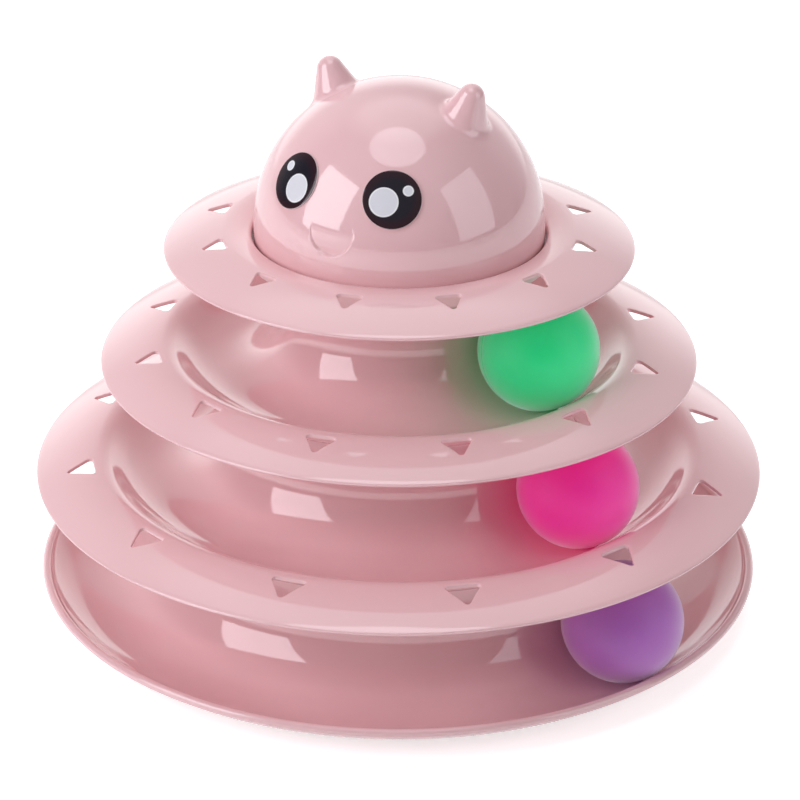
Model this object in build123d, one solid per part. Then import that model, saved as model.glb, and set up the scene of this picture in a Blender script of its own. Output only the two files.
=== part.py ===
from build123d import *
import math
import os

# Ball track toy: dished tracks stacked on hollow hubs, a domed animal head, and a ball in each track.
# Millimetres, +Z up. The origin is on the floor, under the middle of the stack. -Y is the viewed side.
# An azimuth is measured from -Y towards +X, in degrees.

# Balls and the round-bottomed tracks that they run in. A tier's track is tighter on its outer side, which
# rises in an arc and then in a straight slope to the crest.
BALL_DIAMETER = 40.0
BALL_WALL = 1.2
TRACK_PLAY = 2.0
OUTER_PLAY = 1.0
OUTER_SLOPE = 40.0
RUNNING_GAP = 0.3
PURPLE_AZIMUTH = 44.3
MAGENTA_AZIMUTH = 45.8
GREEN_AZIMUTH = 51.5

# Moulded walls, the room between a ball and the tier over it, and the outside of the topmost hub
WALL = 2.4
HEADROOM = 2.97
HUB_RADIUS = 36.15

# Base tray: height of its rolled lip above the bottom of its track, and the lip's bead
LIP_HEIGHT = 6.27
LIP_BEAD_RADIUS = 1.5

# Brims: the crest in from the track's outer side, the edge out from the lip below it, and their roundings
CREST_INSET = 0.6
BRIM_OVERHANG = 0.45
BRIM_WALL = 1.3
CREST_RADIUS = 7.0
BRIM_ARC_RADIUS = 62.0
CREST_SLOPE = 6.7

# Three-cornered holes in the brims: a flat side towards the hub and a point outwards
HOLE_COUNT = 12
HOLE_OFFSET = 1.8
HOLE_CORNER_RADIUS = 1.1
LOWER_HOLE_WIDTH = 13.0
LOWER_HOLE_LENGTH = 9.9
LOWER_TURN = -3.9
MIDDLE_HOLE_WIDTH = 11.4
MIDDLE_HOLE_LENGTH = 9.2
MIDDLE_TURN = -2.2
CROWN_HOLE_WIDTH = 10.0
CROWN_HOLE_LENGTH = 8.5
CROWN_TURN = 0.0

# Spigots: the ring under a tier that plugs into the hub below it, with ribs that take up the play
SPIGOT_DEPTH = 9.0
SPIGOT_WALL = 2.0
SPIGOT_CLEARANCE = 0.35
SEAT_THICKNESS = 1.2
RIB_COUNT = 6
RIB_RADIUS = 0.8
RIB_CLEARANCE = 0.15

# Crown: the top dish, which carries the head on a ledge inside its collar, and reaches out from the dome
CROWN_REACH = 29.85
COLLAR_ARC_RADIUS = 26.0
COLLAR_ROUND = 2.0
LEDGE_HEIGHT = 3.5
FLOOR_MARGIN = 2.0
UPSTAND_WALL = 2.0
UPSTAND_HEIGHT = 4.5
UPSTAND_CLEARANCE = 0.3
SEAM_GAP = 0.5

# Head: a domed shell on a short skirt that overhangs the hub, with two ears moulded in one with it
HEAD_OVERHANG = 12.25
DOME_WALL = 2.2
DOME_SKIRT = 7.4
FACE_AZIMUTH = -28.0
EAR_AZIMUTH = -30.0
EAR_INSET = 21.9
EAR_HEIGHT = 4.5
EAR_TIP_RADIUS = 4.4
EAR_WALL = 2.0
EAR_ANGLE = 23.0
EAR_TILT = 19.0
EAR_FILLET = 1.0

# Face: two round eye discs let into the dome, and a scooped smile
EYE_RADIUS = 9.5
EYE_LATITUDE = 30.2
EYE_SPREAD = 24.8
EYE_THICKNESS = 1.0
EYE_SINK = 0.35
EYE_CLEARANCE = 0.1
SMILE_RADIUS = 7.7
SMILE_LATITUDE = 15.4
SMILE_DEPTH = 0.76
SMILE_TILT = 8.5

# Feet: soft pads let into bosses under the base tray, inwards from the middle of its track
FOOT_COUNT = 6
FOOT_INSET = 9.5
FOOT_RADIUS = 7.0
FOOT_HEIGHT = 2.0
FOOT_STANDOFF = 1.2
FOOT_CLEARANCE = 0.15
FOOT_EDGE = 0.4
BOSS_RIM = 1.4
POCKET_FLOOR = 0.2

# Worked out from the driving dimensions
BALL_RADIUS = BALL_DIAMETER / 2
TRACK_RADIUS = BALL_RADIUS + TRACK_PLAY

# Each track lies over the wall of the hub that carries it, so the hubs step outwards from the top down.
TRACK_STEP = TRACK_RADIUS + WALL / 2
MIDDLE_HUB = HUB_RADIUS
MIDDLE_TRACK_RADIUS = MIDDLE_HUB + TRACK_RADIUS
LOWER_HUB = MIDDLE_HUB + TRACK_STEP
LOWER_TRACK_RADIUS = LOWER_HUB + TRACK_RADIUS
BASE_HUB = LOWER_HUB + TRACK_STEP
BASE_TRACK_RADIUS = BASE_HUB + TRACK_RADIUS

# The height from one track to the next leaves the headroom between a ball and the round track over it.
BALL_TO_TRACK = BALL_RADIUS + HEADROOM + TRACK_RADIUS + WALL
BALL_CENTRE_Z = BALL_RADIUS + RUNNING_GAP
TRACK_PITCH = BALL_CENTRE_Z + math.sqrt(BALL_TO_TRACK**2 - TRACK_STEP**2) - TRACK_RADIUS
HUB_HEIGHT = TRACK_PITCH - WALL

BASE_Z = FOOT_HEIGHT + POCKET_FLOOR + WALL
LOWER_Z = BASE_Z + TRACK_PITCH
MIDDLE_Z = LOWER_Z + TRACK_PITCH
CROWN_Z = MIDDLE_Z + TRACK_PITCH

# Outward from the middle of a track: its lip on the base, and its crest and brim edge on the tiers
LIP_MIDDLE = TRACK_RADIUS + WALL / 2
LIP_ANGLE = math.asin((TRACK_RADIUS - LIP_HEIGHT) / LIP_MIDDLE)
LIP_REACH = LIP_MIDDLE * math.cos(LIP_ANGLE)
CREST_REACH = TRACK_RADIUS - CREST_INSET
BRIM_REACH = TRACK_STEP + LIP_REACH + LIP_BEAD_RADIUS + BRIM_OVERHANG

# The straight slope's length fits between the track's arc and the crest's rounding, whose centre's height
# above the track follows from it.
OUTER_RADIUS = BALL_RADIUS + OUTER_PLAY
SLOPE = math.radians(OUTER_SLOPE)
SLOPE_RUN = (CREST_REACH - (OUTER_RADIUS + CREST_RADIUS) * math.sin(SLOPE)) / math.cos(SLOPE)
SLOPE_TOP = OUTER_RADIUS * (1 - math.cos(SLOPE)) + SLOPE_RUN * math.sin(SLOPE)
CREST_CENTRE_Z = SLOPE_TOP - CREST_RADIUS * math.cos(SLOPE)
CREST_TO_EDGE = BRIM_REACH - CREST_REACH

DOME_RADIUS = MIDDLE_HUB + HEAD_OVERHANG
CROWN_RADIUS = DOME_RADIUS + CROWN_REACH
EAR_REACH = DOME_RADIUS - EAR_INSET
EAR_RISE = DOME_RADIUS + EAR_HEIGHT
FOOT_CIRCLE = BASE_TRACK_RADIUS - FOOT_INSET
DOME_CENTRE_Z = CROWN_Z + LEDGE_HEIGHT + DOME_SKIRT
DOME_CENTRE = Vector(0, 0, DOME_CENTRE_Z)
PROUD = 1.0


def ring(inner, outer, low, high):
    """A rectangle of the profile plane: radius across, height up."""
    middle = ((inner + outer) / 2, (low + high) / 2)
    return Pos(*middle) * Rectangle(outer - inner, high - low)


def spun(profile):
    """The profile turned about the stack's axis."""
    return revolve(Plane.XZ * profile, Axis.Z)


def around(azimuth, radius, height=0.0):
    """A place on a circle about the stack's axis, turned so that its local +X points outwards."""
    return Rot(0, 0, azimuth - 90) * Pos(radius, 0, height)


def brim_edge(crest):
    """Centre of the brim's arc, and its angle at the edge, for a crest of this radius."""
    slope = math.radians(CREST_SLOPE)
    run = BRIM_ARC_RADIUS - CREST_RADIUS
    centre = (crest - run * math.sin(slope), CREST_CENTRE_Z - run * math.cos(slope))
    reach = crest + CREST_TO_EDGE - BRIM_WALL / 2 - centre[0]
    return centre, math.degrees(math.acos(reach / (BRIM_ARC_RADIUS - BRIM_WALL / 2)))


def brim_lines(crest, from_angle):
    """The brim's outline, from the crest's top at from_angle round the edge to the crest's underside."""
    start = 90 - CREST_SLOPE
    centre, edge = brim_edge(crest)
    middle = BRIM_ARC_RADIUS - BRIM_WALL / 2
    edge_x = centre[0] + middle * math.cos(math.radians(edge))
    edge_z = centre[1] + middle * math.sin(math.radians(edge))
    return [
        CenterArc((crest, CREST_CENTRE_Z), CREST_RADIUS, from_angle, start - from_angle),
        CenterArc(centre, BRIM_ARC_RADIUS, start, edge - start),
        CenterArc((edge_x, edge_z), BRIM_WALL / 2, edge, -180),
        CenterArc(centre, BRIM_ARC_RADIUS - BRIM_WALL, edge, start - edge),
        CenterArc((crest, CREST_CENTRE_Z), CREST_RADIUS - BRIM_WALL, start, from_angle - start),
    ]


def tier_profile(track):
    """Hub, track and brim as one wall, thinner at the brim. Heights are from the bottom of the track."""
    centre = (track, TRACK_RADIUS)
    outer_centre = (track, OUTER_RADIUS)
    hub = track - TRACK_RADIUS
    rise = CenterArc(outer_centre, OUTER_RADIUS, 270, OUTER_SLOPE)
    under_rise = CenterArc(outer_centre, OUTER_RADIUS + WALL, 270 + OUTER_SLOPE, -OUTER_SLOPE)
    brim = brim_lines(track + CREST_REACH, 90 + OUTER_SLOPE)
    lines = [
        Line((hub - WALL, HUB_HEIGHT), (hub, HUB_HEIGHT)),
        Line((hub, HUB_HEIGHT), (hub, TRACK_RADIUS)),
        CenterArc(centre, TRACK_RADIUS, 180, 90),
        rise,
        Line(rise @ 1, brim[0] @ 0),
        *brim,
        Line(brim[-1] @ 1, under_rise @ 0),
        under_rise,
        CenterArc(centre, TRACK_RADIUS + WALL, 270, -90),
        Line((hub - WALL, TRACK_RADIUS), (hub - WALL, HUB_HEIGHT)),
    ]
    return make_face(Curve() + lines)


def base_profile():
    """Hub and track of the base tray, and the bead rolled along its lip."""
    track = BASE_TRACK_RADIUS
    hub = track - TRACK_RADIUS
    centre = (track, TRACK_RADIUS)
    end = math.degrees(LIP_ANGLE)
    lip = (track + LIP_REACH, LIP_HEIGHT)
    sweep = 180 - end
    lines = [
        Line((hub - WALL, HUB_HEIGHT), (hub, HUB_HEIGHT)),
        Line((hub, HUB_HEIGHT), (hub, TRACK_RADIUS)),
        CenterArc(centre, TRACK_RADIUS, 180, sweep),
        CenterArc(lip, WALL / 2, 180 - end, -180),
        CenterArc(centre, TRACK_RADIUS + WALL, 360 - end, -sweep),
        Line((hub - WALL, TRACK_RADIUS), (hub - WALL, HUB_HEIGHT)),
    ]
    return make_face(Curve() + lines) + Pos(*lip) * Circle(LIP_BEAD_RADIUS)


def crown_profile():
    """Brim and collar, the ledge that the head stands on, the upstand inside it, and the floor."""
    crest = CROWN_RADIUS - CREST_TO_EDGE
    seat = DOME_RADIUS + SEAM_GAP
    outside = seat + WALL
    arc = (crest, CREST_CENTRE_Z + CREST_RADIUS - COLLAR_ARC_RADIUS)
    inner_arc = COLLAR_ARC_RADIUS - COLLAR_ROUND
    round_x = seat + COLLAR_ROUND
    turn = math.degrees(math.acos((round_x - crest) / inner_arc))
    round_z = arc[1] + inner_arc * math.sin(math.radians(turn))
    under = COLLAR_ARC_RADIUS - BRIM_WALL
    under_turn = math.degrees(math.acos((outside - crest) / under))
    under_z = arc[1] + under * math.sin(math.radians(under_turn))
    foot = LEDGE_HEIGHT - WALL
    lines = [
        CenterArc(arc, COLLAR_ARC_RADIUS, turn, 90 - turn),
        *brim_lines(crest, 90),
        CenterArc(arc, under, 90, under_turn - 90),
        Line((outside, under_z), (outside, foot)),
        Line((outside, foot), (seat, foot)),
        Line((seat, foot), (seat, round_z)),
        CenterArc((round_x, round_z), COLLAR_ROUND, 180, turn - 180),
    ]
    upstand = DOME_RADIUS - DOME_WALL - UPSTAND_CLEARANCE
    upstand_inner = upstand - UPSTAND_WALL
    floor = MIDDLE_HUB + FLOOR_MARGIN
    web = [
        (floor - WALL, -WALL),
        (floor, -WALL),
        (upstand, foot),
        (upstand, LEDGE_HEIGHT),
        (upstand_inner, LEDGE_HEIGHT),
        (floor - WALL, 0),
    ]
    return (
        make_face(Curve() + lines)
        + ring(upstand_inner, outside, foot, LEDGE_HEIGHT)
        + ring(upstand_inner, upstand, foot, LEDGE_HEIGHT + UPSTAND_HEIGHT)
        + make_face(Polyline(*web, close=True))
        + ring(0, floor - WALL / 2, -WALL, 0)
    )


def brim_holes(crest, width, length, turn):
    """The cutters for a brim's holes, for a crest of this radius."""
    inner = crest + HOLE_OFFSET
    corners = [(inner, -width / 2), (inner + length, 0), (inner, width / 2)]
    hole = make_face(Polyline(*corners, close=True))
    hole = fillet(hole.vertices(), HOLE_CORNER_RADIUS)
    cutter = extrude(hole, TRACK_PITCH / 2)
    return [around((k + 0.5) * 360 / HOLE_COUNT + turn, 0) * cutter for k in range(HOLE_COUNT)]


def spigot(hub):
    """The seat that lies on a hub of this outer radius, and the ribbed ring that plugs into it."""
    outer = hub - WALL - SPIGOT_CLEARANCE
    inner = outer - SPIGOT_WALL
    ribs_at = hub - WALL - RIB_CLEARANCE - RIB_RADIUS
    low = -WALL - SPIGOT_DEPTH
    solid = spun(ring(inner, hub, -WALL, SEAT_THICKNESS - WALL) + ring(inner, outer, low, -WALL))
    rib = extrude(Circle(RIB_RADIUS), SPIGOT_DEPTH + SEAT_THICKNESS)
    for k in range(RIB_COUNT):
        solid += around(k * 360 / RIB_COUNT, ribs_at, low) * rib
    return solid


def tier(track, hub_below, width, length, turn, height):
    """A dished track with its hub, brim, brim holes and spigot."""
    solid = spun(tier_profile(track)) + spigot(hub_below)
    solid -= brim_holes(track + CREST_REACH, width, length, turn)
    return Pos(0, 0, height) * solid


def base_tray():
    """The lowest track, with a boss and a pocket under it for each foot."""
    solid = Pos(0, 0, BASE_Z) * spun(base_profile())
    inside = Pos(BASE_TRACK_RADIUS, BASE_Z + TRACK_RADIUS) * Circle(TRACK_RADIUS + WALL / 2)
    hollow = spun(inside)
    boss = extrude(Circle(FOOT_RADIUS + FOOT_CLEARANCE + BOSS_RIM), BASE_Z + TRACK_RADIUS - FOOT_STANDOFF)
    pocket = extrude(Circle(FOOT_RADIUS + FOOT_CLEARANCE), FOOT_HEIGHT - FOOT_STANDOFF)
    for k in range(FOOT_COUNT):
        place = around(k * 360 / FOOT_COUNT, FOOT_CIRCLE, FOOT_STANDOFF)
        solid += place * boss - hollow
        solid -= place * pocket
    return solid


def foot(k):
    """A round pad, eased along its lower edge."""
    pad = extrude(Circle(FOOT_RADIUS), FOOT_HEIGHT)
    pad = chamfer(pad.edges().group_by(Axis.Z)[0], FOOT_EDGE)
    return around(k * 360 / FOOT_COUNT, FOOT_CIRCLE) * pad


def crown():
    """The top dish."""
    solid = spun(crown_profile()) + spigot(MIDDLE_HUB)
    solid -= brim_holes(CROWN_RADIUS - CREST_TO_EDGE, CROWN_HOLE_WIDTH, CROWN_HOLE_LENGTH, CROWN_TURN)
    return Pos(0, 0, CROWN_Z) * solid


def dome(radius, skirt):
    """A solid half ball on a cylinder, about the dome's centre."""
    return spun(ring(0, radius, -skirt, 0) + make_face(
        [Line((0, 0), (radius, 0)), CenterArc((0, 0), radius, 0, 90), Line((0, radius), (0, 0))]
    ))


def ear(tip_radius, azimuth):
    """A rounded cone that leans outwards, about the dome's centre."""
    angle = math.radians(EAR_ANGLE)
    length = EAR_RISE / 2
    shoulder = (tip_radius * math.cos(angle), tip_radius * math.sin(angle))
    foot_radius = shoulder[0] + (length + shoulder[1]) * math.tan(angle)
    outline = [
        Line((0, -length), (foot_radius, -length)),
        Line((foot_radius, -length), shoulder),
        CenterArc((0, 0), tip_radius, EAR_ANGLE, 90 - EAR_ANGLE),
        Line((0, tip_radius), (0, -length)),
    ]
    tip = around(azimuth, EAR_REACH, EAR_RISE - EAR_TIP_RADIUS)
    return tip * Rot(0, EAR_TILT, 0) * spun(make_face(outline))


def on_dome(azimuth, latitude):
    """A place on the dome's surface: local +Z outwards, +X to the right seen from outside, +Y upwards."""
    around_z = math.radians(azimuth)
    lift = math.radians(latitude)
    outward = Vector(
        math.sin(around_z) * math.cos(lift), -math.cos(around_z) * math.cos(lift), math.sin(lift)
    )
    right = Vector(math.cos(around_z), math.sin(around_z), 0)
    return Plane(origin=outward * DOME_RADIUS, x_dir=right, z_dir=outward).location


def eye_place(side):
    """Where an eye lies: side is -1 for the left one seen from in front, 1 for the right one."""
    return on_dome(FACE_AZIMUTH + side * EYE_SPREAD, EYE_LATITUDE)


def eye_plug(side, radius):
    """A short cylinder through the dome's surface where an eye lies."""
    return eye_place(side) * Pos(0, 0, -DOME_WALL) * extrude(Circle(radius), DOME_WALL + PROUD)


def eye(side):
    """A curved disc that follows the dome, about the dome's centre."""
    inner = DOME_RADIUS - EYE_SINK + EYE_CLEARANCE
    shell = Sphere(inner + EYE_THICKNESS - EYE_CLEARANCE) - Sphere(inner)
    return eye_plug(side, EYE_RADIUS) & shell


def smile_cutter():
    """A disc pressed in at a tilt: deepest along its lower edge, and run out above."""
    place = on_dome(FACE_AZIMUTH, SMILE_LATITUDE) * Pos(0, 0, -SMILE_DEPTH) * Rot(SMILE_TILT, 0, 0)
    return place * extrude(Circle(SMILE_RADIUS), DOME_WALL + PROUD)


def head():
    """The domed shell with its hollow ears, eye recesses and smile."""
    ears = [EAR_AZIMUTH - 90, EAR_AZIMUTH + 90]
    solid = dome(DOME_RADIUS, DOME_SKIRT)
    for azimuth in ears:
        solid += ear(EAR_TIP_RADIUS, azimuth)
    roots = [e for e in solid.edges().filter_by(GeomType.BSPLINE) if e.center().Z > DOME_RADIUS / 2]
    solid = fillet(roots, EAR_FILLET)
    inside = dome(DOME_RADIUS - DOME_WALL, DOME_SKIRT)
    for azimuth in ears:
        inside += ear(EAR_TIP_RADIUS - EAR_WALL, azimuth)
    solid -= inside
    for side in (-1, 1):
        solid -= eye_plug(side, EYE_RADIUS + EYE_CLEARANCE) - Sphere(DOME_RADIUS - EYE_SINK)
    solid -= smile_cutter()
    return Pos(DOME_CENTRE) * solid


def ball(track_z, track, azimuth):
    """A hollow ball in its track."""
    shell = Sphere(BALL_RADIUS) - Sphere(BALL_RADIUS - BALL_WALL)
    return around(azimuth, track, track_z + BALL_CENTRE_Z) * shell


LOWER_HOLES = (LOWER_HOLE_WIDTH, LOWER_HOLE_LENGTH, LOWER_TURN)
MIDDLE_HOLES = (MIDDLE_HOLE_WIDTH, MIDDLE_HOLE_LENGTH, MIDDLE_TURN)

PARTS = {
    "base_tray": base_tray(),
    "lower_tier": tier(LOWER_TRACK_RADIUS, BASE_HUB, *LOWER_HOLES, LOWER_Z),
    "middle_tier": tier(MIDDLE_TRACK_RADIUS, LOWER_HUB, *MIDDLE_HOLES, MIDDLE_Z),
    "crown_tier": crown(),
    "dome_head": head(),
    "left_eye": Pos(DOME_CENTRE) * eye(-1),
    "right_eye": Pos(DOME_CENTRE) * eye(1),
    "purple_ball": ball(BASE_Z, BASE_TRACK_RADIUS, PURPLE_AZIMUTH),
    "magenta_ball": ball(LOWER_Z, LOWER_TRACK_RADIUS, MAGENTA_AZIMUTH),
    "green_ball": ball(MIDDLE_Z, MIDDLE_TRACK_RADIUS, GREEN_AZIMUTH),
}
for number in range(FOOT_COUNT):
    PARTS[f"foot_{number + 1}"] = foot(number)

os.makedirs("parts", exist_ok=True)
for node, solid in PARTS.items():
    export_step(solid, f"parts/{node}.step")
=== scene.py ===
# %% [markdown]
# # A ball track tower for a cat
# The toy is a stack of glossy pink mouldings: a base tray, two dished tiers, a crown and a domed animal
# head. Each of the three lower levels has a round-bottomed track with a loose ball in it. This lesson
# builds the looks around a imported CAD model, so the first step loads that model as a fixed frame. Every
# piece made here stands for one CAD node, at the same place and size, and moves with that node's body.

# %% Load the frame
import math
import bmesh
import bpy
import numpy as np
from mathutils import Matrix, Vector


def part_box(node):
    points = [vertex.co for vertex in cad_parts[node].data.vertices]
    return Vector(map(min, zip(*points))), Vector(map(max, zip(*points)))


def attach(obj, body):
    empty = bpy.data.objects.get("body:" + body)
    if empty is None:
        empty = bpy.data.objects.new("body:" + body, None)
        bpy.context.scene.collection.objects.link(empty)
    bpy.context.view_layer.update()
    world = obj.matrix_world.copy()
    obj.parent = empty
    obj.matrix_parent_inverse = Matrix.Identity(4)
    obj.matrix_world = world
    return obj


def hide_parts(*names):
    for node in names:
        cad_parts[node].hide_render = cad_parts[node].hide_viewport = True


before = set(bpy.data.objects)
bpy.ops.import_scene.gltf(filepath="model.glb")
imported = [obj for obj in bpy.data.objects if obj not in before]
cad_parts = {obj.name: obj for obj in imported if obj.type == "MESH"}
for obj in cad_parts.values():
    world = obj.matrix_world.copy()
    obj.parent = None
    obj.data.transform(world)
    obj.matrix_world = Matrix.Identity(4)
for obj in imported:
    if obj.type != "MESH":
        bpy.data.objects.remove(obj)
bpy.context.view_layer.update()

bpy.ops.object.select_all(action="DESELECT")
bpy.context.scene.view_settings.view_transform = "Standard"
MM = 0.001
print("nodes:", sorted(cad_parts))

# %% [markdown]
# ## The camera
# The photograph was taken with a long lens from a little above. A long lens far away keeps the round brims
# as nearly true ellipses, so the distance and the lens are chosen together: they were fitted to the four
# rims. Here and below, lengths are in metres and angles in degrees; only the lens is in millimetres. A
# camera and a lamp both look along their own -Z, so one helper turns either of them towards a point.

# %% Camera
CAMERA_DISTANCE = 1.0598
CAMERA_ELEVATION = 25.45
CAMERA_ROLL = 0.23
CAMERA_LENS = 140.07
LOOK_AT = Vector((0.43 * MM, -0.55 * MM, 68.9 * MM))


def direction(azimuth, elevation):
    """A unit vector. Azimuth is from -Y, the viewed side, towards +X."""
    turn = math.radians(azimuth)
    lift = math.radians(elevation)
    return Vector((math.sin(turn) * math.cos(lift), -math.cos(turn) * math.cos(lift), math.sin(lift)))


def face(thing, point, roll=0.0):
    """Turns a camera or a lamp to a point, then rolls it about its own line of sight."""
    look = (Vector(point) - thing.location).to_track_quat("-Z", "Y").to_matrix()
    thing.rotation_euler = (look @ Matrix.Rotation(math.radians(roll), 3, "Z")).to_euler()


bpy.ops.object.camera_add(location=LOOK_AT + CAMERA_DISTANCE * direction(0, CAMERA_ELEVATION))
camera = bpy.context.object
camera.name = "camera"
camera.data.lens = CAMERA_LENS
face(camera, LOOK_AT, CAMERA_ROLL)
bpy.context.scene.camera = camera
print("camera at", [round(v, 4) for v in camera.location])

# %% [markdown]
# ## Lamps
# Glossy plastic shows its lamps, so the lamps are soft boxes whose mirror images on the dome were measured:
# a bright one to the left, a dimmer one to the right and a weak one overhead. A soft box's radiance is what
# its reflection looks like, so it is the value that is set, and the lamp's power follows from its area.

# %% Soft boxes
LAMP_DISTANCE = 1.25
LAMP_TARGET = Vector((0, 0, 110 * MM))
LAMP_COLOR = (0.985, 0.985, 1.03)


def soft_box(name, azimuth, elevation, width, height, radiance, shape="RECTANGLE"):
    """An area lamp that faces the toy, with its size and the brightness of its mirror image."""
    place = LAMP_TARGET + LAMP_DISTANCE * direction(azimuth, elevation)
    bpy.ops.object.light_add(type="AREA", location=place)
    lamp = bpy.context.object
    lamp.name = name
    lamp.data.shape = shape
    lamp.data.size = width
    lamp.data.size_y = height
    lamp.data.color = LAMP_COLOR
    lamp.data.energy = radiance * math.pi * width * height
    lamp.visible_camera = False
    face(lamp, LAMP_TARGET)
    print(name, "at", [round(v, 3) for v in place])


soft_box("left_soft_box", -64, 24, 0.78, 0.95, 3.9)
soft_box("right_soft_box", 63, 23, 0.76, 0.95, 1.6)
soft_box("top_soft_box", -10, 81.5, 0.82, 0.77, 1.5, "ELLIPSE")

# %% [markdown]
# ## Floor and room
# The background is white. The floor is lit like any surface and keeps the shadow, and camera, mirror and
# see-through rays get a little extra from it, so that it reads as white paper without lighting the toy.
#
# The room around it is bright behind the toy, where the white backdrop hangs, and dim in front, behind the
# camera. That difference gives the gloss its depth: brims and track walls that mirror the backdrop look
# pale, and hubs that mirror the dim side keep their full colour. Four soft glows make the room: the
# backdrop, its brighter foot, its top, and a weak ceiling in front. Each has a direction, and fades out
# around it between two cosines. The nodes are wired by short helpers, which the materials use too.

# %% Node helpers
def math_node(tree, operation, *terms):
    """The result of a Math node. Each term is a fixed number or another node's output."""
    node = tree.nodes.new("ShaderNodeMath")
    node.operation = operation
    for socket, term in zip(node.inputs, terms):
        if isinstance(term, float):
            socket.default_value = term
        else:
            tree.links.new(term, socket)
    return node.outputs[0]


def vector_value(tree, operation, vector, fixed):
    """The value that a Vector Math node makes of another node's output and a fixed vector."""
    node = tree.nodes.new("ShaderNodeVectorMath")
    node.operation = operation
    tree.links.new(vector, node.inputs[0])
    node.inputs[1].default_value = fixed
    return node.outputs["Value"]


def smooth_step(tree, value, start, end, top=1.0):
    """A soft step, from 0 where the value is start to top where it is end."""
    node = tree.nodes.new("ShaderNodeMapRange")
    node.interpolation_type = "SMOOTHSTEP"
    node.inputs["From Min"].default_value = start
    node.inputs["From Max"].default_value = end
    node.inputs["To Max"].default_value = top
    tree.links.new(value, node.inputs["Value"])
    return node.outputs["Result"]


def any_ray(tree, *kinds):
    """A value that is 1 for rays of any of these kinds, and 0 for the rest."""
    path = tree.nodes.new("ShaderNodeLightPath")
    found, *others = [path.outputs[f"Is {kind} Ray"] for kind in kinds]
    for other in others:
        found = math_node(tree, "MAXIMUM", found, other)
    return found


# %% Floor
FLOOR_SIZE = 8.0
FLOOR_GLOW = 0.6
WHITE = (1.0, 1.0, 1.0, 1.0)

bpy.ops.mesh.primitive_plane_add(size=FLOOR_SIZE)
floor = bpy.context.object
floor.name = "floor"
paper = bpy.data.materials.new("white_paper")
paper.use_nodes = True
paper_tree = paper.node_tree
paper_shader = paper_tree.nodes["Principled BSDF"]
paper_shader.inputs["Base Color"].default_value = (0.93, 0.93, 0.93, 1.0)
paper_shader.inputs["Roughness"].default_value = 0.9
paper_shader.inputs["Specular IOR Level"].default_value = 0.0
paper_shader.inputs["Emission Color"].default_value = WHITE
seen = any_ray(paper_tree, "Camera", "Glossy", "Transmission")
extra = math_node(paper_tree, "MULTIPLY", seen, FLOOR_GLOW)
paper_tree.links.new(extra, paper_shader.inputs["Emission Strength"])
floor.data.materials.append(paper)
print("floor:", FLOOR_SIZE, "m across")

# %% Room
ROOM_DIM = 0.02
ROOM_GLOWS = (
    {"towards": direction(180, 10), "from": 0.25, "to": 0.85, "strength": 0.65},
    {"towards": direction(180, -25), "from": 0.54, "to": 0.82, "strength": 1.0},
    {"towards": direction(180, 68), "from": 0.86, "to": 0.97, "strength": 0.85},
    {"towards": direction(-15, 55), "from": 0.50, "to": 0.95, "strength": 0.17},
)

world = bpy.data.worlds.new("studio")
bpy.context.scene.world = world
world.use_nodes = True
world_tree = world.node_tree
ray = world_tree.nodes.new("ShaderNodeTexCoord").outputs["Generated"]
room_light = ROOM_DIM
for glow in ROOM_GLOWS:
    facing = vector_value(world_tree, "DOT_PRODUCT", ray, glow["towards"])
    lit = smooth_step(world_tree, facing, glow["from"], glow["to"], glow["strength"])
    room_light = math_node(world_tree, "ADD", room_light, lit)
room = world_tree.nodes["Background"]
room.inputs["Color"].default_value = WHITE
world_tree.links.new(room_light, room.inputs["Strength"])
backdrop = world_tree.nodes.new("ShaderNodeBackground")
backdrop.inputs["Color"].default_value = WHITE
backdrop.inputs["Strength"].default_value = 1.0
pick = world_tree.nodes.new("ShaderNodeMixShader")
world_tree.links.new(any_ray(world_tree, "Camera", "Transmission"), pick.inputs[0])
world_tree.links.new(room.outputs[0], pick.inputs[1])
world_tree.links.new(backdrop.outputs[0], pick.inputs[2])
world_tree.links.new(pick.outputs[0], world_tree.nodes["World Output"].inputs["Surface"])
print("room:", len(ROOM_GLOWS), "glows")

# %% [markdown]
# ## Moulded plastic
# All the mouldings are glossy plastic of one batch. A plain colour looks like a computer drawing, because
# real plastic has three faint unevennesses: its tone drifts a little from place to place, its gloss varies
# where it has been handled, and its skin has a very shallow ripple. One node group makes all three from
# noise on Object coordinates, and each material places it with its own amounts.

# %% The moulded skin group
SKIN_INPUTS = {
    "Color": ("NodeSocketColor", (0.8, 0.8, 0.8, 1.0)),
    "Deep Color": ("NodeSocketColor", (0.7, 0.7, 0.7, 1.0)),
    "Tone Scale": ("NodeSocketFloat", 20.0),
    "Tone Amount": ("NodeSocketFloat", 0.5),
    "Tone Middle": ("NodeSocketFloat", 0.5),
    "Gloss Scale": ("NodeSocketFloat", 60.0),
    "Roughness": ("NodeSocketFloat", 0.2),
    "Roughness Swing": ("NodeSocketFloat", 0.03),
    "Ripple Scale": ("NodeSocketFloat", 400.0),
}
SKIN_OUTPUTS = {"Color": "NodeSocketColor", "Roughness": "NodeSocketFloat", "Ripple": "NodeSocketFloat"}
TONE_DETAIL = 3.0
GLOSS_DETAIL = 4.0
RIPPLE_DETAIL = 2.0


def noise_in(tree, vector, scale_socket, detail):
    """A noise texture, with its scale taken from a socket."""
    noise = tree.nodes.new("ShaderNodeTexNoise")
    noise.inputs["Detail"].default_value = detail
    tree.links.new(vector, noise.inputs["Vector"])
    tree.links.new(scale_socket, noise.inputs["Scale"])
    return noise.outputs["Fac"]


def swing(tree, noise, amount, middle):
    """Noise from 0 to 1, turned into middle plus or minus amount, both of them sockets."""
    centred = math_node(tree, "MULTIPLY_ADD", noise, 2.0, -1.0)
    return math_node(tree, "MULTIPLY_ADD", centred, amount, middle)


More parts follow.
